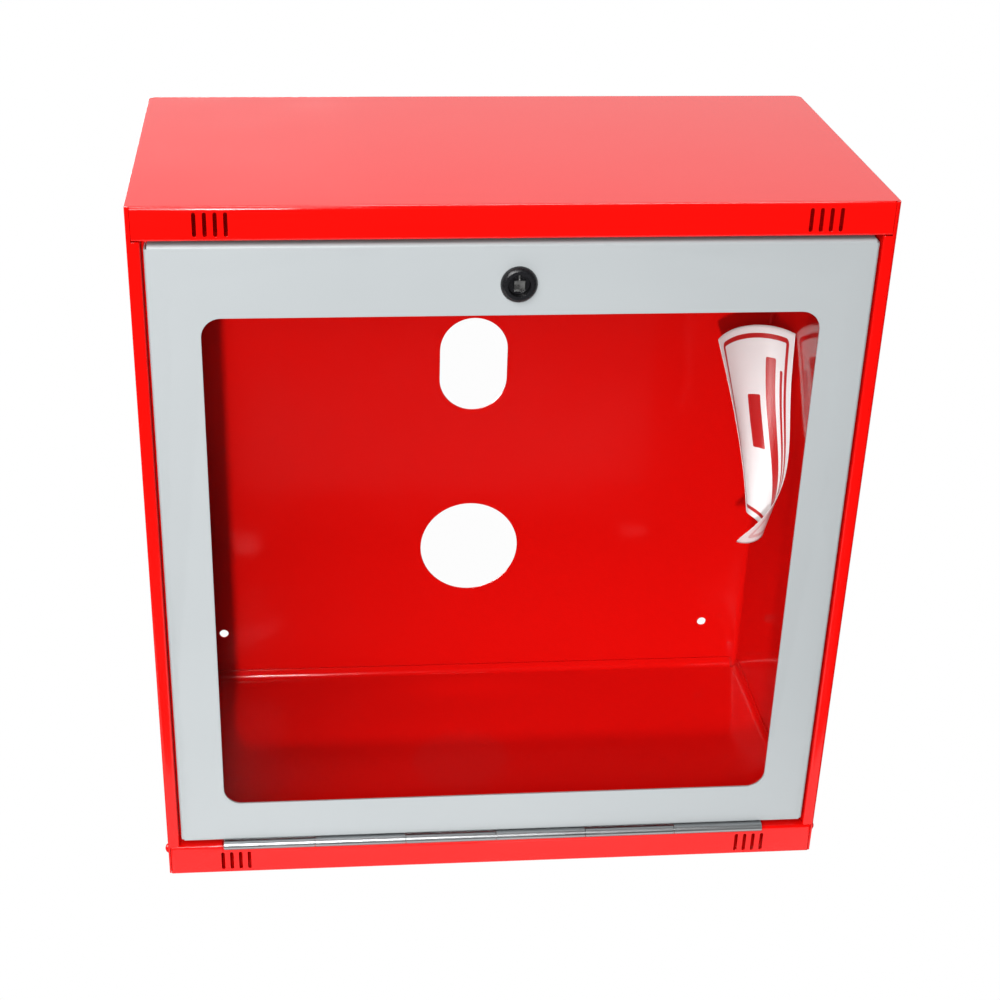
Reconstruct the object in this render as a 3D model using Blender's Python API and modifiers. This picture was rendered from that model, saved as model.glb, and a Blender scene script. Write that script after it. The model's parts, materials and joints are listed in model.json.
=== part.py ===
"""Standpipe (dry riser) cabinet: a folded steel case whose framed door is hinged along the bottom and folds down.

Metres, +Z up. Pieces are modelled in the case's own frame, with x = 0 on the centre line, y = 0 on the front face and
z = 0 at the base. One empty then carries them all, so that the origin is on the wall face between the two pipe holes.
"""

import math

import bmesh
import bpy
from mathutils import Matrix, Vector

# Case
CASE_WIDTH = 0.570
CASE_HEIGHT = 0.600
CASE_DEPTH = 0.305
SHEET = 0.0015
FOLD = 0.0025  # outer radius of a tight fold
FOLD_INSIDE = FOLD - SHEET
CHAMFER = 0.0004
SOFT_FOLD = 0.005  # inside radius where the case's walls meet
GAP = 0.0003  # between pieces that touch
ARC_STEPS = 4
PAST = 0.01  # how far a cutting shape runs past what it cuts
BEYOND = 0.4  # reach of a cutting shape that clears everything on one side
ORIGIN_HEIGHT = 0.250  # of the wall mount above the base

HALF = CASE_WIDTH / 2
INSIDE = HALF - SHEET - GAP  # half the width of a piece that fits between the sides
BACK_FACE = CASE_DEPTH - SHEET  # the back wall's front surface

# Front frame
BAND_HEIGHT = 0.026
BAND_LIP_DEPTH = 0.021
BAND_LIP_HEIGHT = 0.012
BAND_LIP_HALF = 0.200  # the lip stops short of the vent slots
FLANGE = 0.010
REBATE = 0.0165  # depth at which the door closes
REBATE_LIP = 0.010
CORNER_STRIP = 0.0035  # of the side's fold that runs up beside the band

# Lower rail and hinge
RAIL_HEIGHT = 0.0295
RAIL_LIP = 0.020
RAIL_TAB = 0.020
RIVET_Y = 0.009
RIVET_Z = 0.0225
RIVET_HOLE = 0.0027
RIVET_HEAD = 0.0044
RIVET_SHANK = 0.0024
HINGE_LIP = 0.024
CHANNEL = 0.032  # from the front to where the floor starts
CHANNEL_LIP = 0.0075
NOTCH = 0.238  # half the width of the lip that carries the hinge
HINGE_HALF = 0.2368
KNUCKLES = 6
KNUCKLE_RADIUS = 0.0038
PIN_RADIUS = 0.0020
PIN_BORE = 0.0022
LEAF = 0.0015
LEAF_DEPTH = 0.022
PIN_Y = -0.0021
PIN_Z = 0.0311

FLOOR_TOP = 0.010
FLOOR_FLANGE = 0.009
FLOOR_FRONT_DROP = 0.006

# Vent slots: four together, near each end of the band and of the rail
SLOT_CENTRE = 0.227
SLOT_PITCH = 0.0076
SLOT_WIDTH = 0.003
SLOT_LENGTH = 0.0182
BAND_SLOT_SHIFT = 0.0027  # of the band's slots to the right
BAND_SLOT_Z = CASE_HEIGHT - 0.0133
RAIL_SLOT_SHIFT = 0.0004
RAIL_SLOT_Z = 0.0130

# Holes in the back
PIPE_X = 0.0013
LOWER_HOLE_RADIUS = 0.0478
LOWER_HOLE_Z = 0.1553
UPPER_HOLE_WIDTH = 0.0635
UPPER_HOLE_HEIGHT = 0.0925
UPPER_HOLE_Z = 0.3490
FIXING_X = 0.243
FIXING_Z = 0.062
FIXING_RADIUS = 0.0045

# Door
DOOR_HALF = 0.273
DOOR_BOTTOM = 0.0352
DOOR_TOP = 0.5710
DOOR_FLANGE = REBATE - GAP
WINDOW_HALF = 0.2345
WINDOW_BOTTOM = 0.0738
WINDOW_TOP = 0.5148
WINDOW_CORNER = 0.015
PANE_OVERLAP = 0.009
PANE_CORNER = 0.004
PANE = 0.003
GASKET = 0.002
GASKET_WIDTH = 0.006
CLIP_X = 0.120  # of the clips on the top rail
CLIP_LOW = 0.180
CLIP_HIGH = 0.410
CLIP_WIDTH = 0.016
CLIP_TONGUE = 0.0065
CLIP_STEP = 0.0015
CLIP_FOOT = 0.016
STUD_OUT = 0.009  # from the pane's edge to a stud
STUD_RADIUS = 0.0020
STUD_END = 0.0115
STUD_HOLE = 0.0024
NUT_BORE = 0.0023
NUT_RADIUS = 0.0040
NUT_HEIGHT = 0.0032

# Quarter-turn lock
LOCK_X = 0.0018
LOCK_Z = 0.5394
LOCK_FLANGE_RADIUS = 0.0139
LOCK_FLANGE = 0.005
LOCK_BARREL_RADIUS = 0.0097
LOCK_HOLE_RADIUS = 0.0100
LOCK_BACK = 0.0185
RECESS_RADIUS = 0.0086
RECESS_FLOOR = 0.0035
SHAFT_RADIUS = 0.0058
BORE_RADIUS = 0.0061
KEY_SQUARE = 0.008
CAM_FRONT = BAND_LIP_DEPTH + 0.0006
CAM = 0.0025
CAM_REACH = 0.040
CAM_HALF = 0.009
CAM_CORNER = 0.006
DRIVE = 0.0035  # half the square on which the cam sits
LOCK_NUT_RADIUS = 0.0136
LOCK_NUT = 0.005
DISC_TOP = 0.0008  # of the rotor's disc, behind the door's face
POINTER = 0.0005  # half the width of the rotor's pointer
SCREW_RADIUS = 0.0021
SCREW_HOLE = 0.0024
SCREW_END = 0.0135
SCREW_HEAD = 0.0045
WASHER_RADIUS = 0.0065
WASHER_HOLE = 0.0026
WASHER = 0.0010

# Curled label. Its top edge is nearly a half circle, and towards its foot it rolls up until it is closed. Each tuple
# holds a value at the top and what is added to it by the foot, in proportion to how far down a point is, and to powers
# of that.
LABEL_TOP = Vector((0.2478, 0.1986, 0.4024))
LABEL_LEAN_X = (-0.0059, 0.0033)
LABEL_LEAN_Y = (-0.0584, 0.0257)
LABEL_RADIUS = (0.0439, -0.0427, 0.0095)
LABEL_SPIRAL = (0.0, 0.85)
LABEL_LEFT = (143.0, 24.8, -17.5)
LABEL_RIGHT = (37.0, -12.3, -183.7)
LABEL_DROP = (0.1437, 0.0430, -0.0154)
LABEL_RISE = (0.0179, 0.0043)  # of the top edge's middle, and of its right end
LABEL_THICK = 0.0004

RED = (0.52, 0.006, 0.004, 1)
GREY = (0.42, 0.45, 0.46, 1)


def new_collection(name):
    made = bpy.data.collections.new(name)
    bpy.context.scene.collection.children.link(made)
    return made


def new_material(name, colour, roughness, metallic=0.0):
    made = bpy.data.materials.new(name)
    made.use_nodes = True
    shader = made.node_tree.nodes["Principled BSDF"]
    shader.inputs["Base Color"].default_value = colour
    shader.inputs["Roughness"].default_value = roughness
    shader.inputs["Metallic"].default_value = metallic
    return made


for old in list(bpy.data.objects):
    bpy.data.objects.remove(old, do_unlink=True)

PARTS = new_collection("standpipe_cabinet")
CUTTERS = new_collection("cutters")
CASE_FRAME = bpy.data.objects.new("case_frame", None)
PARTS.objects.link(CASE_FRAME)
CASE_FRAME.location = (0, -CASE_DEPTH, -ORIGIN_HEIGHT)

RED_PAINT = new_material("red_paint", RED, 0.25)
GREY_PAINT = new_material("grey_paint", GREY, 0.4)
BARE_STEEL = new_material("bare_steel", (0.62, 0.62, 0.62, 1), 0.3, 1.0)
ZINC = new_material("zinc", (0.75, 0.75, 0.73, 1), 0.35, 1.0)
BLACK_PLASTIC = new_material("black_plastic", (0.01, 0.01, 0.011, 1), 0.3)
RUBBER = new_material("rubber", (0.02, 0.02, 0.02, 1), 0.8)
CLEAR = new_material("clear_pane", (0.9, 0.95, 0.95, 0.3), 0.05)
LABEL_WHITE = new_material("label_white", (0.85, 0.85, 0.85, 1), 0.4)


# ---------------------------------------------------------------- shapes


def add(name, mesh, material, parent=CASE_FRAME):
    """A part of the cabinet."""
    part = bpy.data.objects.new(name, mesh)
    PARTS.objects.link(part)
    part.parent = parent
    mesh.materials.clear()
    mesh.materials.append(material)
    return part


def helper(name, mesh, parent=CASE_FRAME):
    """A shape that cuts, or is joined to, a part."""
    made = bpy.data.objects.new(name, mesh)
    CUTTERS.objects.link(made)
    made.parent = parent
    made.hide_render = True
    made.display_type = "WIRE"
    return made


def boolean(part, other, operation):
    modifier = part.modifiers.new(other.name, "BOOLEAN")
    modifier.operation = operation
    modifier.solver = "EXACT"
    modifier.use_self = True
    modifier.object = other


def cut(part, other):
    boolean(part, other, "DIFFERENCE")


def join(part, other):
    boolean(part, other, "UNION")


def mesh_of(name, build):
    """A mesh made by a function that fills a bmesh."""
    bm = bmesh.new()
    build(bm)
    mesh = bpy.data.meshes.new(name)
    bm.to_mesh(mesh)
    bm.free()
    return mesh


def box(bm, low, high):
    low, high = Vector(low), Vector(high)
    size = Matrix.Diagonal((*(high - low), 1))
    bmesh.ops.create_cube(bm, size=1, matrix=Matrix.Translation((low + high) / 2) @ size)


def rod(bm, start, end, radius, segments=24):
    start, end = Vector(start), Vector(end)
    turn = (end - start).to_track_quat("Z", "Y").to_matrix().to_4x4()
    place = Matrix.Translation((start + end) / 2) @ turn
    bmesh.ops.create_cone(
        bm, cap_ends=True, segments=segments, radius1=radius, radius2=radius, depth=(end - start).length, matrix=place
    )


def prism(bm, outline, y_low, y_high):
    """A flat (x, z) outline, run through from y_low to y_high."""
    face = bm.faces.new([bm.verts.new((x, y_low, z)) for x, z in outline])
    made = bmesh.ops.extrude_face_region(bm, geom=[face])["geom"]
    bmesh.ops.translate(bm, verts=[v for v in made if isinstance(v, bmesh.types.BMVert)], vec=(0, y_high - y_low, 0))
    bmesh.ops.recalc_face_normals(bm, faces=bm.faces)


def column(bm, outline, z_low, z_high):
    """A flat (x, y) outline, run up from z_low to z_high."""
    face = bm.faces.new([bm.verts.new((x, y, z_low)) for x, y in outline])
    made = bmesh.ops.extrude_face_region(bm, geom=[face])["geom"]
    bmesh.ops.translate(bm, verts=[v for v in made if isinstance(v, bmesh.types.BMVert)], vec=(0, 0, z_high - z_low))
    bmesh.ops.recalc_face_normals(bm, faces=bm.faces)


def rounded_rectangle(x_low, x_high, z_low, z_high, radius, steps=6):
    outline = []
    centres = ((x_high, z_high, 0), (x_low, z_high, 90), (x_low, z_low, 180), (x_high, z_low, 270))
    for x, z, start in centres:
        x += radius if x == x_low else -radius
        z += radius if z == z_low else -radius
        for step in range(steps + 1):
            angle = math.radians(start + 90 * step / steps)
            outline.append((x + radius * math.cos(angle), z + radius * math.sin(angle)))
    return outline


def rounded_path(corners):
    """Points along straight runs whose corners are (a, b, radius of the bend there)."""
    points = []
    for index, (a, b, radius) in enumerate(corners):
        here = Vector((a, b))
        if not radius:
            points.append(here)
            continue
        back = (Vector(corners[index - 1][:2]) - here).normalized()
        ahead = (Vector(corners[index + 1][:2]) - here).normalized()
        half = back.angle(ahead) / 2
        centre = here + (back + ahead).normalized() * radius / math.sin(half)
        first = here + back * radius / math.tan(half) - centre
        last = here + ahead * radius / math.tan(half) - centre
        for step in range(ARC_STEPS + 1):
            spread = first.angle(last)
            share = step / ARC_STEPS
            low, high = math.sin((1 - share) * spread), math.sin(share * spread)
            points.append(centre + (first * low + last * high) / math.sin(spread))
    return points


def surface(bm, corners, stations, place):
    """An open sheet: the path through corners, swept across the stations. place(a, b, station) gives x, y, z."""
    path = rounded_path(corners)
    rows = [[bm.verts.new(place(a, b, station)) for station in stations] for a, b in path]
    for near, far in zip(rows, rows[1:]):
        for i in range(len(stations) - 1):
            bm.faces.new((near[i], far[i], far[i + 1], near[i + 1]))


def across(a, b, station):
    """A (y, z) path swept along x."""
    return (station, a, b)


def upright(a, b, station):
    """An (x, y) path swept along z."""
    return (a, b, station)


def folded_sheet(name, build, facing, material):
    """A sheet of the case: the open surface is its visible side, and its largest face looks along facing."""

    def welded(bm):
        build(bm)
        bmesh.ops.remove_doubles(bm, verts=bm.verts, dist=1e-6)
        bmesh.ops.recalc_face_normals(bm, faces=bm.faces)
        largest = max(bm.faces, key=lambda face: face.calc_area())
        if largest.normal.dot(Vector(facing)) < 0:
            bmesh.ops.reverse_faces(bm, faces=bm.faces)

    part = add(name, mesh_of(name, welded), material)
    thickness = part.modifiers.new("sheet", "SOLIDIFY")
    thickness.thickness = SHEET
    thickness.offset = -1
    thickness.use_even_offset = True
    return part


def turned(name, profile, place, material, steps=32, closed=False, parent=CASE_FRAME):
    """A turned piece: (radius, height) points down its outer side, turned about local Z."""

    def outline(bm):
        points = [bm.verts.new((radius, 0, height)) for radius, height in profile]
        for near, far in zip(points, points[1:]):
            bm.edges.new((near, far))
        if closed:
            bm.edges.new((points[-1], points[0]))

    part = add(name, mesh_of(name, outline), material, parent)
    screw = part.modifiers.new("turn", "SCREW")
    screw.steps = steps
    screw.render_steps = steps
    screw.use_merge_vertices = True
    screw.merge_threshold = 1e-5
    part.matrix_local = place
    return part


def slots(bm, shift, z_centre):
    """The four slots near each end of the band or of the rail, as shapes that cut its front face."""
    for side in (-1, 1):
        for index in range(4):
            x = shift + side * SLOT_CENTRE + (index - 1.5) * SLOT_PITCH
            half_width, half_length = SLOT_WIDTH / 2, SLOT_LENGTH / 2
            outline = rounded_rectangle(
                x - half_width, x + half_width, z_centre - half_length, z_centre + half_length, half_width - 1e-5, 5
            )
            prism(bm, outline, -PAST, SHEET + FOLD)


# ---------------------------------------------------------------- case


def make_case_wrap():
    """Both sides and the back in one folded sheet, with the front flanges and the rebates that the door closes in."""
    jamb = HALF - FLANGE
    corners = [
        (-jamb + REBATE_LIP, REBATE, 0),
        (-jamb, REBATE, FOLD_INSIDE),
        (-jamb, 0, FOLD),
        (-HALF, 0, FOLD),
        (-HALF, CASE_DEPTH, SOFT_FOLD + SHEET),
    ]
    corners += [(-a, b, radius) for a, b, radius in reversed(corners)]
    wrap = folded_sheet(
        "case_wrap",
        lambda bm: surface(bm, corners, [0, CASE_HEIGHT], upright),
        (0, 1, 0),
        RED_PAINT,
    )
    strip = HALF - CORNER_STRIP
    band_low = CASE_HEIGHT - BAND_HEIGHT - GAP
    edge_top = CASE_HEIGHT - SHEET - GAP

    through = Vector((0, PAST, 0))
    inner_edge = jamb - REBATE_LIP - PAST
    rail_top = RAIL_HEIGHT + GAP

    def openings(bm):
        box(bm, (-strip, -PAST, band_low), (strip, BAND_LIP_DEPTH + PAST, CASE_HEIGHT + PAST))
        box(bm, (-BEYOND, FOLD, edge_top), (BEYOND, BEYOND, CASE_HEIGHT + PAST))
        for side in (-1, 1):
            low, high = sorted((side * (HALF + PAST), side * inner_edge))
            box(bm, (low, -PAST, -PAST), (high, FOLD, rail_top))
            low, high = sorted((side * INSIDE, side * inner_edge))
            box(bm, (low, 0.0, -PAST), (high, RAIL_TAB + PAST, rail_top))
            rivet = Vector((side * HALF, RIVET_Y, RIVET_Z))
            rod(bm, rivet - Vector((PAST, 0, 0)), rivet + Vector((PAST, 0, 0)), RIVET_HOLE, 16)
            for height in (FIXING_Z, CASE_HEIGHT - FIXING_Z):
                place = Vector((side * FIXING_X, CASE_DEPTH, height))
                rod(bm, place - through, place + through, FIXING_RADIUS, 20)
        low_hole = Vector((PIPE_X, CASE_DEPTH, LOWER_HOLE_Z))
        rod(bm, low_hole - through, low_hole + through, LOWER_HOLE_RADIUS, 64)
        half_width, half_height = UPPER_HOLE_WIDTH / 2, UPPER_HOLE_HEIGHT / 2
        left, right = PIPE_X - half_width, PIPE_X + half_width
        low, high = UPPER_HOLE_Z - half_height, UPPER_HOLE_Z + half_height
        outline = rounded_rectangle(left, right, low, high, half_width - 1e-5, 16)
        prism(bm, outline, CASE_DEPTH - PAST, CASE_DEPTH + PAST)

    cut(wrap, helper("cut_case_wrap", mesh_of("cut_case_wrap", openings)))


def make_top_panel():
    """The top, its front band and the return behind which the lock's cam turns."""
    band_low = CASE_HEIGHT - BAND_HEIGHT
    corners = [
        (BAND_LIP_DEPTH, band_low + BAND_LIP_HEIGHT, 0),
        (BAND_LIP_DEPTH, band_low, FOLD),
        (0, band_low, FOLD),
        (0, CASE_HEIGHT, FOLD),
        (CASE_DEPTH, CASE_HEIGHT, 0),
    ]
    top = folded_sheet(
        "top_panel", lambda bm: surface(bm, corners, [-HALF, HALF], across), (0, 0, 1), RED_PAINT
    )

    def openings(bm):
        slots(bm, BAND_SLOT_SHIFT, BAND_SLOT_Z)
        for side in (-1, 1):
            low, high = sorted((side * (HALF + PAST), side * (HALF - CORNER_STRIP - GAP)))
            box(bm, (low, -PAST, band_low - PAST), (high, FOLD + GAP, CASE_HEIGHT + PAST))
            box(bm, (low, 0.0, band_low - PAST), (high, BAND_LIP_DEPTH + PAST, CASE_HEIGHT - SHEET))
            low, high = sorted((side * (HALF + PAST), side * BAND_LIP_HALF))
            lip_low = (low, BAND_LIP_DEPTH - FOLD, band_low - PAST)
            box(bm, lip_low, (high, BAND_LIP_DEPTH + PAST, CASE_HEIGHT - SHEET - GAP))
        radius = SOFT_FOLD + SHEET
        for side in (-1, 1):
            centre = Vector((side * (HALF - radius), CASE_DEPTH - radius))
            corner = [(side * (HALF + PAST), CASE_DEPTH + PAST)]
            for step in range(ARC_STEPS + 1):
                angle = math.radians(90 * step / ARC_STEPS)
                corner.append((centre.x + side * radius * math.cos(angle), centre.y + radius * math.sin(angle)))
            corner.insert(1, (side * (HALF + PAST), centre.y))
            corner.append((centre.x, CASE_DEPTH + PAST))
            column(bm, corner, CASE_HEIGHT - PAST, CASE_HEIGHT + PAST)

    cut(top, helper("cut_top_panel", mesh_of("cut_top_panel", openings)))


def make_floor_panel():
    """A pan with three upturned flanges, whose front edge turns down into the channel behind the rail."""
    front = CHANNEL + GAP
    rear = BACK_FACE - GAP - SHEET - SOFT_FOLD
    side = INSIDE - SHEET - SOFT_FOLD
    top = FLOOR_TOP

    def pan(bm):
        path = [(front, top - FLOOR_FRONT_DROP, 0), (front, top, FOLD), (rear, top, 0)]
        surface(bm, path, [-side, side], across)
        flange = [(rear, top, 0), (rear + SOFT_FOLD, top, SOFT_FOLD), (rear + SOFT_FOLD, top + FLOOR_FLANGE, 0)]
        surface(bm, flange, [-side, side], across)
        for sign in (-1, 1):
            wall = sign * (side + SOFT_FOLD)
            flange = [(sign * side, top, 0), (wall, top, SOFT_FOLD), (wall, top + FLOOR_FLANGE, 0)]
            surface(bm, flange, [front + FOLD, rear], lambda a, b, station: (a, station, b))

    folded_sheet("floor_panel", pan, (0, 0, 1), RED_PAINT)


def make_bottom_rail():
    """The lower rail: a front face with tabs at its ends, a channel below, and a lip whose middle carries the hinge."""
    lip_low = PIN_Z - KNUCKLE_RADIUS - GAP
    split = lip_low - FOLD - GAP
    ends = [-INSIDE, -NOTCH - GAP, -NOTCH + GAP, NOTCH - GAP, NOTCH + GAP, INSIDE]

    def rail(bm):
        lower = [(CHANNEL, CHANNEL_LIP, 0), (CHANNEL, 0, FOLD), (0, 0, FOLD), (0, split, 0)]
        surface(bm, lower, ends, across)
        end_lip = [(0, split, 0), (0, RAIL_HEIGHT, FOLD), (RAIL_LIP, RAIL_HEIGHT, 0)]
        surface(bm, end_lip, ends[0:2], across)
        surface(bm, end_lip, ends[4:6], across)
        hinge_lip = [(0, split, 0), (0, lip_low, FOLD), (HINGE_LIP, lip_low, 0)]
        surface(bm, hinge_lip, ends[2:4], across)

    part = folded_sheet("bottom_rail", rail, (0, 0, -1), RED_PAINT)

    def tabs(bm):
        for side in (-1, 1):
            low, high = sorted((side * INSIDE, side * (INSIDE - SHEET)))
            box(bm, (low, SHEET / 2, FOLD + 0.001), (high, RAIL_TAB, RAIL_HEIGHT - FOLD - 0.001))

    join(part, helper("join_rail_tabs", mesh_of("join_rail_tabs", tabs)))

    def openings(bm):
        slots(bm, RAIL_SLOT_SHIFT, RAIL_SLOT_Z)
        for side in (-1, 1):
            rivet = Vector((side * INSIDE, RIVET_Y, RIVET_Z))
            rod(bm, rivet - Vector((PAST, 0, 0)), rivet + Vector((PAST, 0, 0)), RIVET_HOLE, 16)
            edge = side * (INSIDE - FOLD)
            corner = [(side * (INSIDE + PAST), FOLD), (side * (INSIDE + PAST), -PAST), (edge, -PAST)]
            for step in range(ARC_STEPS + 1):
                angle = math.radians(90 * step / ARC_STEPS)
                corner.append((edge + side * FOLD * math.sin(angle), FOLD - FOLD * math.cos(angle)))
            column(bm, corner, -PAST, RAIL_HEIGHT + PAST)

    cut(part, helper("cut_bottom_rail", mesh_of("cut_bottom_rail", openings)))


def make_rail_rivets():
    """Domed rivets through each side and the rail's tab behind it."""
    inner = 2 * SHEET + 2 * GAP
    profile = [(0, 0.0030), (0.0018, 0.0027), (0.0034, 0.0017), (RIVET_HEAD, GAP)]
    profile += [(RIVET_SHANK, GAP), (RIVET_SHANK, -inner)]
    profile += [(0.0038, -inner), (0.0038, -inner - 0.0012), (0.0026, -inner - 0.0022), (0, -inner - 0.0022)]
    for side, name in ((-1, "rail_rivet_left"), (1, "rail_rivet_right")):
        turn = Matrix.Rotation(math.radians(90 * side), 4, "Y")
        place = Matrix.Translation((side * HALF, RIVET_Y, RIVET_Z)) @ turn
        turned(name, profile, place, RED_PAINT, steps=16)


# ---------------------------------------------------------------- hinge


def make_hinge(door):
    """A continuous hinge: two leaves that take turns to wrap the pin."""
    step = 2 * HINGE_HALF / KNUCKLES
    plate_start = PIN_Y + KNUCKLE_RADIUS + 0.0005

    def leaf(name, first, low, high, parent, shift):
        def plate(bm):
            box(bm, (-HINGE_HALF, plate_start, low), (HINGE_HALF, PIN_Y + LEAF_DEPTH, high))

        part = add(name, mesh_of(name, plate), BARE_STEEL, parent)

        def knuckles(bm):
            for index in range(first, KNUCKLES, 2):
                start = -HINGE_HALF + index * step + GAP
                end = start + step - 2 * GAP
                rod(bm, (start, PIN_Y, PIN_Z), (end, PIN_Y, PIN_Z), KNUCKLE_RADIUS, 24)

        def tongues(bm):
            for index in range(first, KNUCKLES, 2):
                start = -HINGE_HALF + index * step + GAP
                box(bm, (start, PIN_Y, low), (start + step - 2 * GAP, plate_start + 0.002, high))

        def bore(bm):
            rod(bm, (-BEYOND, PIN_Y, PIN_Z), (BEYOND, PIN_Y, PIN_Z), PIN_BORE, 16)

        for label, build, action in (("tongues", tongues, join), ("knuckles", knuckles, join), ("bore", bore, cut)):
            tool = helper(f"{label}_{name}", mesh_of(label, build), parent)
            tool.location = shift
            action(part, tool)
        part.location = shift
        return part

    reach = KNUCKLE_RADIUS
    leaf("hinge_fixed_leaf", 0, PIN_Z - reach, PIN_Z - reach + LEAF, CASE_FRAME, (0, 0, 0))
    leaf("hinge_door_leaf", 1, PIN_Z + reach - LEAF, PIN_Z + reach, door, (0, -PIN_Y, -PIN_Z))
    pin = mesh_of("hinge_pin", lambda bm: rod(bm, (-HINGE_HALF, 0, 0), (HINGE_HALF, 0, 0), PIN_RADIUS, 16))
    add("hinge_pin", pin, BARE_STEEL).location = (0, PIN_Y, PIN_Z)


# ---------------------------------------------------------------- door


def make_door_panel(door):
    """A pan with the window cut out of its face and a hole for the lock."""
    side, low, high = DOOR_HALF - FOLD, DOOR_BOTTOM + FOLD, DOOR_TOP - FOLD

    def pan(bm):
        surface(bm, [(-side, 0, 0), (side, 0, 0)], [low, high], upright)
        for sign in (-1, 1):
            edge = sign * DOOR_HALF
            flange = [(sign * side, 0, 0), (edge, 0, FOLD), (edge, DOOR_FLANGE, 0)]
            surface(bm, flange, [low, high], upright)
        for start, edge in ((low, DOOR_BOTTOM), (high, DOOR_TOP)):
            flange = [(0, start, 0), (0, edge, FOLD), (DOOR_FLANGE, edge, 0)]
            surface(bm, flange, [-side, side], across)

    part = folded_sheet("door_panel", pan, (0, -1, 0), GREY_PAINT)
    part.parent = door
    part.location = (0, -PIN_Y, -PIN_Z)

    def openings(bm):
        outline = rounded_rectangle(-WINDOW_HALF, WINDOW_HALF, WINDOW_BOTTOM, WINDOW_TOP, WINDOW_CORNER, 8)
        prism(bm, outline, -PAST, PAST)
        rod(bm, (LOCK_X, -PAST, LOCK_Z), (LOCK_X, PAST, LOCK_Z), LOCK_HOLE_RADIUS, 32)

    tool = helper("cut_door_panel", mesh_of("cut_door_panel", openings), door)
    tool.location = (0, -PIN_Y, -PIN_Z)
    cut(part, tool)


def make_window(door):
    """A clear pane on a foam gasket behind the door's face, held by clips on studs."""
    shift = (0, -PIN_Y, -PIN_Z)
    gasket_y = SHEET + GAP
    pane_y = gasket_y + GASKET + GAP
    clip_y = pane_y + PANE + GAP
    half = WINDOW_HALF + PANE_OVERLAP
    low, high = WINDOW_BOTTOM - PANE_OVERLAP, WINDOW_TOP + PANE_OVERLAP

    def ring(bm):
        prism(bm, rounded_rectangle(-half, half, low, high, PANE_CORNER, 3), gasket_y, gasket_y + GASKET)

    def hole(bm):
        width = GASKET_WIDTH
        outline = rounded_rectangle(-half + width, half - width, low + width, high - width, WINDOW_CORNER, 4)
        prism(bm, outline, 0, PAST)

    gasket = add("pane_gasket", mesh_of("pane_gasket", ring), RUBBER, door)
    gasket.location = shift
    tool = helper("cut_pane_gasket", mesh_of("cut_pane_gasket", hole), door)
    tool.location = shift
    cut(gasket, tool)

    def sheet(bm):
        prism(bm, rounded_rectangle(-half, half, low, high, PANE_CORNER, 3), pane_y, pane_y + PANE)

    add("window_pane", mesh_of("window_pane", sheet), CLEAR, door).location = shift

    def clip(bm):
        """A Z seen along its width: the foot rests on the door, and the tongue on the pane's edge."""
        foot = [(-CLIP_TONGUE, clip_y, 0), (CLIP_STEP, clip_y, FOLD)]
        foot += [(CLIP_STEP, gasket_y, FOLD_INSIDE), (CLIP_FOOT, gasket_y, 0)]
        surface(bm, foot, [-CLIP_WIDTH / 2, CLIP_WIDTH / 2], upright)

    places = []
    for side, across_name in ((-1, "left"), (1, "right")):
        turn = 0 if side > 0 else 180
        for height, name in ((CLIP_LOW, "lower"), (CLIP_HIGH, "upper")):
            places.append((f"{across_name}_{name}", (side * half, 0, height), turn))
        places.append((f"{across_name}_top", (side * CLIP_X, 0, high), -90))
    for name, point, turn in places:
        part = folded_sheet(f"pane_clip_{name}", clip, (0, 1, 0), ZINC)
        part.parent = door
        part.modifiers["sheet"].offset = 1
        part.modifiers["sheet"].thickness = SHEET
        turn = Matrix.Rotation(math.radians(turn), 4, "Y")
        place = Matrix.Translation(Vector(point) + Vector(shift)) @ turn
        part.matrix_local = place
        hole = helper(
            f"cut_pane_clip_{name}",
            mesh_of("clip_hole", lambda bm: rod(bm, (STUD_OUT, 0, 0), (STUD_OUT, STUD_END, 0), STUD_HOLE, 16)),
            door,
        )
        hole.matrix_local = place
        cut(part, hole)
        foot = gasket_y + SHEET + GAP
        outwards = Matrix.Translation((STUD_OUT, 0, 0)) @ Matrix.Rotation(math.radians(-90), 4, "X")
        tip = STUD_RADIUS - CHAMFER
        profile = [(0, STUD_END), (tip, STUD_END), (STUD_RADIUS, STUD_END - CHAMFER), (STUD_RADIUS, gasket_y)]
        profile.append((0, gasket_y))
        turned(f"pane_stud_{name}", profile, place @ outwards, ZINC, steps=16, parent=door)
        nut = add(
            f"pane_nut_{name}",
            mesh_of("pane_nut", lambda bm: rod(bm, (0, 0, foot), (0, 0, foot + NUT_HEIGHT), NUT_RADIUS, 6)),
            ZINC,
            door,
        )
        nut.matrix_local = place @ outwards
        bore = helper(
            f"cut_pane_nut_{name}",
            mesh_of("nut_bore", lambda bm: rod(bm, (0, 0, 0), (0, 0, STUD_END + PAST), NUT_BORE, 16)),
            door,
        )
        bore.matrix_local = place @ outwards
        cut(nut, bore)


# ---------------------------------------------------------------- lock


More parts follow.
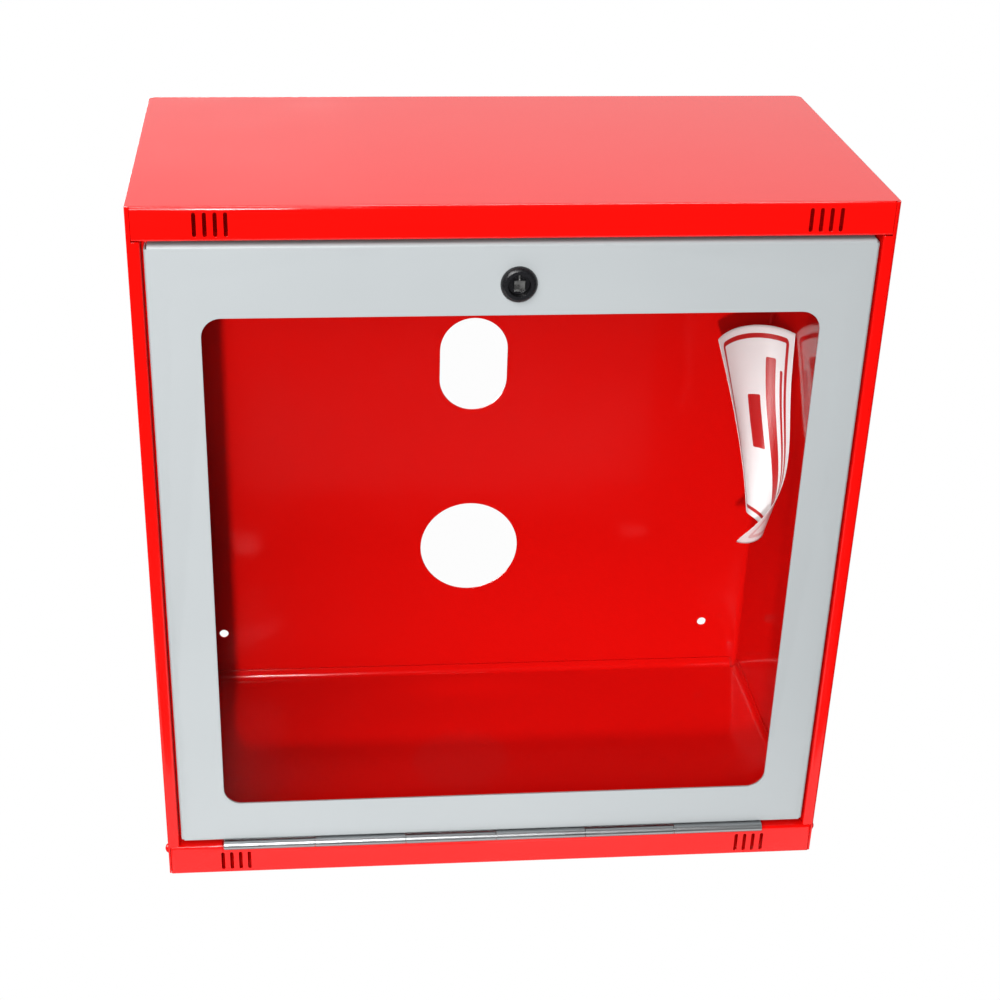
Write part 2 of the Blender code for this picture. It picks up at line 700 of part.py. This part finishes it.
def make_lock(door):
    """A black quarter-turn body and its nut on the door, and the rotor, cam, washer and screw that turn in it."""
    key = bpy.data.objects.new("lock_axis", None)
    PARTS.objects.link(key)
    key.parent = door
    key.location = (LOCK_X, -PIN_Y, LOCK_Z - PIN_Z)
    spin = Matrix.Rotation(math.radians(90), 4, "X")

    front, rim = LOCK_FLANGE, LOCK_FLANGE_RADIUS
    outer = [(RECESS_RADIUS, front), (rim - 0.0028, front), (rim - 0.0012, front - 0.0010), (rim, front - 0.003)]
    outer.append((rim, GAP))
    outer += [(LOCK_BARREL_RADIUS, GAP), (LOCK_BARREL_RADIUS, -LOCK_BACK), (BORE_RADIUS, -LOCK_BACK)]
    outer += [(BORE_RADIUS, -RECESS_FLOOR), (RECESS_RADIUS, -RECESS_FLOOR)]
    turned("lock_housing", outer, key_place(0), BLACK_PLASTIC, 48, closed=True, parent=door)

    nut_front = SHEET + GAP

    def hexagon(bm):
        rod(bm, (0, 0, 0), (0, 0, -LOCK_NUT), LOCK_NUT_RADIUS, 6)

    nut = add("lock_nut", mesh_of("lock_nut", hexagon), ZINC, door)
    nut.matrix_local = key_place(nut_front)

    def nut_hole(bm):
        rod(bm, (0, 0, PAST), (0, 0, -LOCK_NUT - PAST), LOCK_HOLE_RADIUS, 32)

    hole = helper("cut_lock_nut", mesh_of("cut_lock_nut", nut_hole), door)
    hole.matrix_local = key_place(nut_front)
    cut(nut, hole)

    cam_back = CAM_FRONT + CAM
    disc = [(0, -DISC_TOP), (RECESS_RADIUS - GAP, -DISC_TOP), (RECESS_RADIUS - GAP, -RECESS_FLOOR + GAP)]
    disc += [(SHAFT_RADIUS, -RECESS_FLOOR + GAP), (SHAFT_RADIUS, -CAM_FRONT + GAP), (0, -CAM_FRONT + GAP)]
    rotor = turned("lock_rotor", disc, spin, ZINC, 40, parent=key)
    half = KEY_SQUARE / 2

    def square(bm):
        box(bm, (-half, -half, -0.002), (half, half, LOCK_FLANGE - GAP))
        box(bm, (-POINTER, 0, -0.002), (POINTER, RECESS_RADIUS - 2 * GAP, LOCK_FLANGE - 0.002))
        box(bm, (-DRIVE, -DRIVE, -cam_back + GAP), (DRIVE, DRIVE, -CAM_FRONT + 0.001))

    post = helper("join_lock_rotor", mesh_of("join_lock_rotor", square), key)
    post.matrix_local = spin
    join(rotor, post)
    screw_hole = helper(
        "cut_lock_rotor",
        mesh_of("cut_lock_rotor", lambda bm: rod(bm, (0, 0, -cam_back - PAST), (0, 0, -0.012), SCREW_HOLE, 16)),
        key,
    )
    screw_hole.matrix_local = spin
    cut(rotor, screw_hole)

    def blade(bm):
        outline = rounded_rectangle(-CAM_REACH, CAM_HALF, -CAM_HALF, CAM_HALF, CAM_CORNER, 4)
        prism(bm, outline, CAM_FRONT, cam_back)

    cam = add("lock_cam", mesh_of("lock_cam", blade), ZINC, key)
    fit = DRIVE + 0.0002

    def socket(bm):
        box(bm, (-fit, CAM_FRONT - PAST, -fit), (fit, cam_back + PAST, fit))

    cut(cam, helper("cut_lock_cam", mesh_of("cut_lock_cam", socket), key))

    near, far = -cam_back - GAP, -cam_back - GAP - WASHER
    washer = [(WASHER_RADIUS, near), (WASHER_RADIUS, far), (WASHER_HOLE, far), (WASHER_HOLE, near)]
    turned("cam_washer", washer, spin, ZINC, 24, closed=True, parent=key)
    head = far - GAP
    screw = [(0, -SCREW_END), (SCREW_RADIUS, -SCREW_END), (SCREW_RADIUS, head), (SCREW_HEAD, head)]
    screw += [(SCREW_HEAD, head - 0.0022), (SCREW_HEAD - 0.0013, head - 0.0032), (0, head - 0.0032)]
    turned("cam_screw", screw, spin, ZINC, 20, parent=key)


def key_place(y):
    """Places a turned lock piece, given in the door's frame, with local Z out of the front."""
    return Matrix.Translation((LOCK_X, y - PIN_Y, LOCK_Z - PIN_Z)) @ Matrix.Rotation(math.radians(90), 4, "X")


# ---------------------------------------------------------------- label


def label_point(a, d):
    """A point of the curled label: a is the share of the way across it, and d the share of the way down."""
    radius = LABEL_RADIUS[0] + LABEL_RADIUS[1] * d + LABEL_RADIUS[2] * d**2
    radius *= 1 + (LABEL_SPIRAL[0] + LABEL_SPIRAL[1] * d) * (a - 0.5)
    left = LABEL_LEFT[0] + LABEL_LEFT[1] * d + LABEL_LEFT[2] * d**2
    right = LABEL_RIGHT[0] + LABEL_RIGHT[1] * d + LABEL_RIGHT[2] * d**3
    angle = math.radians(left + (right - left) * a)
    x = LABEL_LEAN_X[0] * d + LABEL_LEAN_X[1] * d**2 + radius * math.cos(angle)
    y = LABEL_LEAN_Y[0] * d + LABEL_LEAN_Y[1] * d**2 + radius * math.sin(angle)
    drop = (LABEL_DROP[0] + LABEL_DROP[1] * a + LABEL_DROP[2] * a**2) * d
    rise = (LABEL_RISE[0] * a * (1 - a) + LABEL_RISE[1] * a) * (1 - d)
    return LABEL_TOP + Vector((x, y, rise - drop))


def make_label():
    """A loose self-adhesive sign, curled up by itself."""
    columns, rows = 22, 16

    def curl(bm):
        grid = [
            [bm.verts.new(label_point(i / columns, j / rows)) for i in range(columns + 1)] for j in range(rows + 1)
        ]
        for upper, lower in zip(grid, grid[1:]):
            for i in range(columns):
                bm.faces.new((upper[i], upper[i + 1], lower[i + 1], lower[i]))

    part = add("label_sheet", mesh_of("label_sheet", curl), LABEL_WHITE)
    thickness = part.modifiers.new("sheet", "SOLIDIFY")
    thickness.thickness = LABEL_THICK
    thickness.offset = 0


# ---------------------------------------------------------------- assembly

make_case_wrap()
make_top_panel()
make_floor_panel()
make_bottom_rail()
make_rail_rivets()

DOOR_AXIS = bpy.data.objects.new("door_axis", None)
PARTS.objects.link(DOOR_AXIS)
DOOR_AXIS.parent = CASE_FRAME
DOOR_AXIS.location = (0, PIN_Y, PIN_Z)

make_hinge(DOOR_AXIS)
make_door_panel(DOOR_AXIS)
make_window(DOOR_AXIS)
make_lock(DOOR_AXIS)
make_label()
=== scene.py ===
"""Looks of the standpipe cabinet: camera, studio light, paint, metal and plastic, and the printed label.

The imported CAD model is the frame. Everything is in its metres: x to the right, y into the wall, z up,
with the origin on the wall face between the two pipe holes.
"""

import json
import math

import bmesh
import bpy
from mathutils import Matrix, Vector


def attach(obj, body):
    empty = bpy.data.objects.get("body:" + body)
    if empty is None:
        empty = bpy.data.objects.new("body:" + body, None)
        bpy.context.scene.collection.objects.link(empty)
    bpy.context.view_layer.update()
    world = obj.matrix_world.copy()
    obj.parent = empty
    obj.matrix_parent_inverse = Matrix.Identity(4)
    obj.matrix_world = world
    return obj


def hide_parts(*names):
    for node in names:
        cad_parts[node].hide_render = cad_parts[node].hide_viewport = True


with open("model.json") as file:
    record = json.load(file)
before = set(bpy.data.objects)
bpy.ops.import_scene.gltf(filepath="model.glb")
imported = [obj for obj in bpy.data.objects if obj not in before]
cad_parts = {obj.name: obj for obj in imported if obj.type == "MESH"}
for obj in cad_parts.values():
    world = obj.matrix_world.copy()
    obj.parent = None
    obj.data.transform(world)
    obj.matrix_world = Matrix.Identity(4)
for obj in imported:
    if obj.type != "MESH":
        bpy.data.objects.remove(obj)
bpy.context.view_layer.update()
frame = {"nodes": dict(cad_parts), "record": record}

NODES = frame["nodes"]
MM = 0.001

# Camera
CAMERA_PLACE = (-0.1642, -1.5860, 0.7596)
CAMERA_TURN = (61.007, -1.103, -4.781)
CAMERA_LENS = 65.76
CAMERA_SHIFT = (0.0478, 0.0710)
SENSOR_WIDTH = 36

# Studio
WORLD_LIGHT = 0.01
WORLD_REFLECTED = 0.04
LIGHTS = (  # name, place, what it is aimed at, size, power
    ("flash", (-0.256, -2.20, 0.50), (0, 0, 0), (0.05, 0.08), 40),
    ("glow", (-0.245, -1.60, 0.68), (-0.2, 0, -0.2), (0.15, 0.36), 7),
    ("left", (-0.95, -1.85, 1.70), (0, -0.15, 0), (1.7, 1.4), 62),
    ("overhead", (0.0, 0.25, 2.0), (0, -0.15, 0.35), (1.6, 0.8), 34),
    ("backdrop", (0.0, 3.0, 1.25), (0, -0.15, 0.35), (5.0, 1.2), 15),
    ("ground", (-0.2, -0.55, -0.45), (-0.2, -0.55, 0), (1.6, 0.4), 2.0),
    ("bounce", (-0.3, -0.80, -0.45), (-0.3, -0.80, 0), (1.6, 0.8), 9),
    ("left side", (-2.6, 0.5, 0.7), (-0.28, -0.15, 0), (1.2, 1.2), 60),
    ("right side", (2.6, 0.5, 0.7), (0.28, -0.15, 0), (1.2, 1.2), 60),
    ("behind", (-0.7, 2.6, 0.2), (0, 0, 0), (1.4, 1.0), 45),
)
HIDDEN_FROM_GLOSS = {"flash", "bounce"}
DISC_FACE = -0.3055  # y, between the lock rotor's disc and the square on it
SHARP_ANGLE = 32  # degrees between faces, above which an edge stays sharp
WELD = 2e-6

# Label, as it is curled in the cabinet. Each tuple holds a value at the top and what is added to it further
# down, in proportion to how far down a point is, and to powers of that.
LABEL_TOP = Vector((0.2478, -0.1064, 0.1524))
LABEL_LEAN_X = (-0.0059, 0.0033)
LABEL_LEAN_Y = (-0.0584, 0.0257)
LABEL_RADIUS = (0.0439, -0.0427, 0.0095)
LABEL_SPIRAL = (0.0, 0.85)
LABEL_LEFT = (143.0, 24.8, -17.5)
LABEL_RIGHT = (37.0, -12.3, -183.7)
LABEL_DROP = (0.1437, 0.0430, -0.0154)
LABEL_RISE = (0.0179, 0.0043)  # of the top edge's middle, and of its right end
LABEL_THICK = 0.0003
LABEL_STEPS = 72  # faces across, and as many down

# Print, on a flat layout in metres that is stretched to fit the curled sheet. The sheet itself is narrower
# than the layout, and mostly longer.
LABEL_LAYOUT = (0.105, 0.165)
BORDER_INSET = (9.0 * MM, 8.0 * MM)
BORDER_CORNER = 3 * MM
BORDER_HALF_WIDTH = 1.9 * MM
BAR_CORNER = 1.5 * MM
BARS = (  # middle across, middle down, half width, half length, in millimetres of the layout
    (52, 76, 9.5, 22),
    (76, 84, 6.5, 60),
    (90, 84, 1.8, 52),
)


# ---------------------------------------------------------------- shader helpers


class Shader:
    """A material's node tree, with short ways to add what these materials use."""

    def __init__(self, name, colour, roughness, metallic=0.0, **extra):
        self.material = bpy.data.materials.new(name)
        self.material.use_nodes = True
        self.tree = self.material.node_tree
        self.surface = self.tree.nodes["Principled BSDF"]
        self.set("Base Color", (*colour, 1))
        self.set("Roughness", roughness)
        self.set("Metallic", metallic)
        for socket, value in extra.items():
            self.set(socket.replace("_", " "), value)

    def set(self, socket, value):
        self.surface.inputs[socket].default_value = value

    def node(self, kind, **settings):
        made = self.tree.nodes.new(kind)
        for name, value in settings.items():
            setattr(made, name, value)
        return made

    def link(self, output, target):
        self.tree.links.new(output, target)

    def place(self, stretch=(1, 1, 1)):
        """The object's own coordinates in metres, stretched."""
        coordinates = self.node("ShaderNodeTexCoord")
        mapping = self.node("ShaderNodeMapping")
        mapping.inputs["Scale"].default_value = stretch
        self.link(coordinates.outputs["Object"], mapping.inputs["Vector"])
        return mapping.outputs["Vector"]

    def noise(self, scale, detail=2.0, stretch=(1, 1, 1)):
        texture = self.node("ShaderNodeTexNoise")
        texture.inputs["Scale"].default_value = scale
        texture.inputs["Detail"].default_value = detail
        self.link(self.place(stretch), texture.inputs["Vector"])
        return texture.outputs["Fac"]

    def ramp(self, value, low, high, steps=(0.35, 0.65)):
        """Maps a value to a number or a colour between low and high."""
        ramp = self.node("ShaderNodeValToRGB")
        first, last = ramp.color_ramp.elements
        for element, position, colour in ((first, steps[0], low), (last, steps[1], high)):
            element.position = position
            element.color = (*colour, 1) if isinstance(colour, tuple) else (colour, colour, colour, 1)
        self.link(value, ramp.inputs["Fac"])
        return ramp.outputs["Color"]

    def bump(self, heights, round_edges=0.0):
        """Bumps the surface by (height value, depth in metres) pairs, on edges rounded by a radius."""
        normal = None
        if round_edges:
            bevel = self.node("ShaderNodeBevel", samples=4)
            bevel.inputs["Radius"].default_value = round_edges
            normal = bevel.outputs["Normal"]
        for height, depth in heights:
            made = self.node("ShaderNodeBump")
            made.inputs["Strength"].default_value = 1.0
            made.inputs["Distance"].default_value = depth
            self.link(height, made.inputs["Height"])
            if normal is not None:
                self.link(normal, made.inputs["Normal"])
            normal = made.outputs["Normal"]
        self.link(normal, self.surface.inputs["Normal"])


def math_node(shader, operation, a, b=None):
    """A Math node on sockets or numbers; returns its output."""
    made = shader.node("ShaderNodeMath", operation=operation)
    for index, value in enumerate((a, b)):
        if value is None:
            continue
        if isinstance(value, (int, float)):
            made.inputs[index].default_value = value
        else:
            shader.link(value, made.inputs[index])
    return made.outputs[0]


# ---------------------------------------------------------------- materials


def red_powder_coat():
    """Glossy red powder coat, with its fine orange peel and slightly rounded edges."""
    shader = Shader("red_powder_coat", (0.52, 0.0020, 0.0012), 0.11, Specular_IOR_Level=0.42)
    peel = shader.noise(420, 1.0)
    waves = shader.noise(60, 1.0)
    roughness = shader.ramp(shader.noise(14, 3.0), 0.09, 0.13)
    shader.link(roughness, shader.surface.inputs["Roughness"])
    shader.bump(((waves, 0.000012), (peel, 0.000008)), round_edges=0.0006)
    return shader.material


def grey_powder_coat():
    """Light grey satin coat of the door."""
    shader = Shader("grey_powder_coat", (0.255, 0.271, 0.278), 0.34)
    tint = shader.ramp(shader.noise(3.0, 3.0), (0.250, 0.266, 0.273), (0.260, 0.276, 0.283))
    shader.link(tint, shader.surface.inputs["Base Color"])
    roughness = shader.ramp(shader.noise(25, 3.0), 0.31, 0.38)
    shader.link(roughness, shader.surface.inputs["Roughness"])
    shader.bump(((shader.noise(450, 1.0), 0.000012),), round_edges=0.0006)
    return shader.material


def drawn_steel():
    """Bright drawn steel of the hinge, with fine lines along it."""
    shader = Shader("drawn_steel", (0.50, 0.51, 0.52), 0.36, 1.0)
    lines = shader.noise(900, 3.0, stretch=(0.02, 1, 1))
    shader.link(shader.ramp(lines, 0.30, 0.42), shader.surface.inputs["Roughness"])
    shader.bump(((lines, 0.00001),), round_edges=0.0003)
    return shader.material


def zinc_plate():
    """Bright zinc, faintly mottled."""
    shader = Shader("zinc_plate", (0.78, 0.78, 0.76), 0.3, 1.0)
    mottle = shader.noise(260, 4.0)
    tint = shader.ramp(mottle, (0.70, 0.70, 0.69), (0.84, 0.84, 0.83))
    shader.link(tint, shader.surface.inputs["Base Color"])
    shader.link(shader.ramp(mottle, 0.24, 0.38), shader.surface.inputs["Roughness"])
    shader.bump(((mottle, 0.00001),), round_edges=0.0003)
    return shader.material


def black_plastic():
    """Half-gloss moulded plastic."""
    shader = Shader("black_plastic", (0.006, 0.006, 0.007), 0.28)
    shader.link(shader.ramp(shader.noise(500, 2.0), 0.24, 0.34), shader.surface.inputs["Roughness"])
    shader.bump(((shader.noise(1400, 2.0), 0.000006),), round_edges=0.0004)
    return shader.material


def key_square(material):
    """Bright zinc faces on the rotor's square and pointer; the disc round them, zinc too, stays black as
    painted shade.
    """
    mesh = NODES["lock_rotor"].data
    mesh.materials.append(material)
    for face in mesh.polygons:
        place = NODES["lock_rotor"].matrix_world @ face.center
        if face.normal.y < -0.5 and place.y < DISC_FACE:
            face.material_index = 1


def foam_rubber():
    """Closed-cell foam of the pane's gasket."""
    shader = Shader("foam_rubber", (0.018, 0.018, 0.018), 0.85)
    shader.bump(((shader.noise(1500, 3.0), 0.00012),))
    return shader.material


def clear_sheet():
    """The pane: so clear that nothing shows of it but a faint gloss."""
    shader = Shader("clear_sheet", (0.02, 0.024, 0.024), 0.04, Alpha=0.01)
    smears = shader.noise(9, 3.0)
    shader.link(shader.ramp(smears, 0.030, 0.045), shader.surface.inputs["Roughness"])
    return shader.material


def print_mask(shader):
    """1 where the label is printed red: a border line along the edge, and plain bars in place of words."""
    coordinates = shader.node("ShaderNodeUVMap", uv_map="label")
    split = shader.node("ShaderNodeSeparateXYZ")
    shader.link(coordinates.outputs["UV"], split.inputs[0])
    across = math_node(shader, "MULTIPLY", split.outputs["X"], LABEL_LAYOUT[0])
    down = math_node(shader, "MULTIPLY", split.outputs["Y"], LABEL_LAYOUT[1])

    def rounded_distance(centre, half, radius):
        """Distance outside a rounded rectangle: negative within it."""
        parts = []
        for value, middle, reach in ((across, centre[0], half[0]), (down, centre[1], half[1])):
            offset = math_node(shader, "ABSOLUTE", math_node(shader, "SUBTRACT", value, middle))
            parts.append(math_node(shader, "SUBTRACT", offset, reach - radius))
        outside = [math_node(shader, "MAXIMUM", part, 0.0) for part in parts]
        squares = [math_node(shader, "MULTIPLY", part, part) for part in outside]
        length = math_node(shader, "SQRT", math_node(shader, "ADD", *squares))
        inside = math_node(shader, "MINIMUM", math_node(shader, "MAXIMUM", *parts), 0.0)
        return math_node(shader, "SUBTRACT", math_node(shader, "ADD", length, inside), radius)

    middle = (LABEL_LAYOUT[0] / 2, LABEL_LAYOUT[1] / 2)
    border = (middle[0] - BORDER_INSET[0], middle[1] - BORDER_INSET[1])
    edge = math_node(shader, "ABSOLUTE", rounded_distance(middle, border, BORDER_CORNER))
    mask = math_node(shader, "LESS_THAN", edge, BORDER_HALF_WIDTH)
    for bar in BARS:
        centre, half = (bar[0] * MM, bar[1] * MM), (bar[2] * MM, bar[3] * MM)
        distance = rounded_distance(centre, half, BAR_CORNER)
        mask = math_node(shader, "MAXIMUM", mask, math_node(shader, "LESS_THAN", distance, 0.0))
    return mask


def label_film(name, paper, ink):
    """Printed film: the paper's colour with the ink over it."""
    shader = Shader(name, paper, 0.32, Specular_IOR_Level=0.5)
    mix = shader.node("ShaderNodeMix", data_type="RGBA")
    shader.link(print_mask(shader), mix.inputs["Factor"])
    colour_inputs = [socket for socket in mix.inputs if socket.type == "RGBA"]
    colour_inputs[0].default_value = (*paper, 1)
    colour_inputs[1].default_value = (*ink, 1)
    colour_output = [socket for socket in mix.outputs if socket.type == "RGBA"][0]
    shader.link(colour_output, shader.surface.inputs["Base Color"])
    shader.bump(((shader.noise(700, 2.0), 0.00001),))
    return shader.material


# ---------------------------------------------------------------- CAD nodes


def dress(names, material):
    """Gives CAD nodes a material, and smooth shading across their bends."""
    for name in names:
        node = NODES[name]
        node.data.materials.clear()
        node.data.materials.append(material)
        custom = node.data.attributes.get("custom_normal")
        if custom:
            node.data.attributes.remove(custom)
        node.data.shade_smooth()
        weld = node.modifiers.new("weld", "WELD")
        weld.merge_threshold = WELD
        split = node.modifiers.new("sharp edges", "EDGE_SPLIT")
        split.split_angle = math.radians(SHARP_ANGLE)


def slot_nodes(slot):
    return [part["node"] for part in frame["record"]["subparts"] if part["material_slot"] == slot]


# ---------------------------------------------------------------- label


def label_point(a, d):
    """A point of the label: a is the share of the way across it, and d the share of the way down."""
    radius = LABEL_RADIUS[0] + LABEL_RADIUS[1] * d + LABEL_RADIUS[2] * d**2
    radius *= 1 + (LABEL_SPIRAL[0] + LABEL_SPIRAL[1] * d) * (a - 0.5)
    left = LABEL_LEFT[0] + LABEL_LEFT[1] * d + LABEL_LEFT[2] * d**2
    right = LABEL_RIGHT[0] + LABEL_RIGHT[1] * d + LABEL_RIGHT[2] * d**3
    angle = math.radians(left + (right - left) * a)
    x = LABEL_LEAN_X[0] * d + LABEL_LEAN_X[1] * d**2 + radius * math.cos(angle)
    y = LABEL_LEAN_Y[0] * d + LABEL_LEAN_Y[1] * d**2 + radius * math.sin(angle)
    drop = (LABEL_DROP[0] + LABEL_DROP[1] * a + LABEL_DROP[2] * a**2) * d
    rise = (LABEL_RISE[0] * a * (1 - a) + LABEL_RISE[1] * a) * (1 - d)
    return LABEL_TOP + Vector((x, y, rise - drop))


def make_label():
    """The label as a fine curled sheet: printed on its hollow side, with the print faint on the other."""
    columns = rows = LABEL_STEPS
    bm = bmesh.new()
    uv = bm.loops.layers.uv.new("label")
    grid = []
    for j in range(rows + 1):
        grid.append([bm.verts.new(label_point(i / columns, j / rows)) for i in range(columns + 1)])
    for j in range(rows):
        for i in range(columns):
            corners = ((i, j), (i, j + 1), (i + 1, j + 1), (i + 1, j))
            face = bm.faces.new([grid[row][column] for column, row in corners])
            face.smooth = True
            for loop, (column, row) in zip(face.loops, corners):
                loop[uv].uv = (column / columns, row / rows)
    mesh = bpy.data.meshes.new("label_film")
    bm.to_mesh(mesh)
    bm.free()
    label = bpy.data.objects.new("label_film", mesh)
    bpy.context.scene.collection.objects.link(label)
    mesh.materials.append(label_film("label_front", (0.62, 0.62, 0.62), (0.36, 0.010, 0.010)))
    mesh.materials.append(label_film("label_back", (0.55, 0.47, 0.47), (0.48, 0.28, 0.28)))
    thickness = label.modifiers.new("film", "SOLIDIFY")
    thickness.thickness = LABEL_THICK
    thickness.offset = 0
    thickness.material_offset = 1
    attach(label, "case")
    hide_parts("label_sheet")


# ---------------------------------------------------------------- studio


def area_light(name, place, target, size, power):
    light = bpy.data.lights.new(name, "AREA")
    light.shape = "RECTANGLE"
    light.size, light.size_y = size
    light.energy = power
    lamp = bpy.data.objects.new(name, light)
    lamp.location = place
    aim = Vector(target) - Vector(place)
    lamp.rotation_euler = aim.to_track_quat("-Z", "Y").to_euler()
    lamp.visible_camera = False
    lamp.visible_glossy = name not in HIDDEN_FROM_GLOSS
    bpy.context.scene.collection.objects.link(lamp)


def make_studio():
    world = bpy.data.worlds.new("studio")
    world.use_nodes = True
    nodes, links = world.node_tree.nodes, world.node_tree.links
    path = nodes.new("ShaderNodeLightPath")
    shown = nodes["Background"]
    shown.inputs["Strength"].default_value = WORLD_LIGHT
    for seen_by, strength in (("Is Glossy Ray", WORLD_REFLECTED), ("Is Camera Ray", 1.0)):
        other = nodes.new("ShaderNodeBackground")
        other.inputs["Strength"].default_value = strength
        mix = nodes.new("ShaderNodeMixShader")
        links.new(path.outputs[seen_by], mix.inputs["Fac"])
        links.new(shown.outputs[0], mix.inputs[1])
        links.new(other.outputs[0], mix.inputs[2])
        shown = mix
    links.new(shown.outputs[0], nodes["World Output"].inputs["Surface"])
    for node in nodes:
        if node.type == "BACKGROUND":
            node.inputs["Color"].default_value = (1, 1, 1, 1)
    bpy.context.scene.world = world
    bpy.context.scene.view_settings.view_transform = "Standard"

    for name, place, target, size, power in LIGHTS:
        area_light(name, place, target, size, power)


def make_camera():
    data = bpy.data.cameras.new("camera")
    data.lens = CAMERA_LENS
    data.sensor_width = SENSOR_WIDTH
    data.shift_x, data.shift_y = CAMERA_SHIFT
    camera = bpy.data.objects.new("camera", data)
    camera.location = CAMERA_PLACE
    camera.rotation_euler = [math.radians(angle) for angle in CAMERA_TURN]
    bpy.context.scene.collection.objects.link(camera)
    bpy.context.scene.camera = camera


# ---------------------------------------------------------------- scene

make_camera()
make_studio()

dress(slot_nodes("red_paint"), red_powder_coat())
dress(slot_nodes("grey_paint"), grey_powder_coat())
dress(slot_nodes("bare_steel"), drawn_steel())
ZINC = zinc_plate()
dress([name for name in slot_nodes("zinc") if name != "lock_rotor"], ZINC)
# The lock rotor takes the black plastic, so its zinc disc is painted black as painted shade; key_square
# gives zinc back to its square and pointer.
dress(slot_nodes("black_plastic") + ["lock_rotor"], black_plastic())
key_square(ZINC)
dress(slot_nodes("rubber"), foam_rubber())
dress(slot_nodes("clear_pane"), clear_sheet())
make_label()
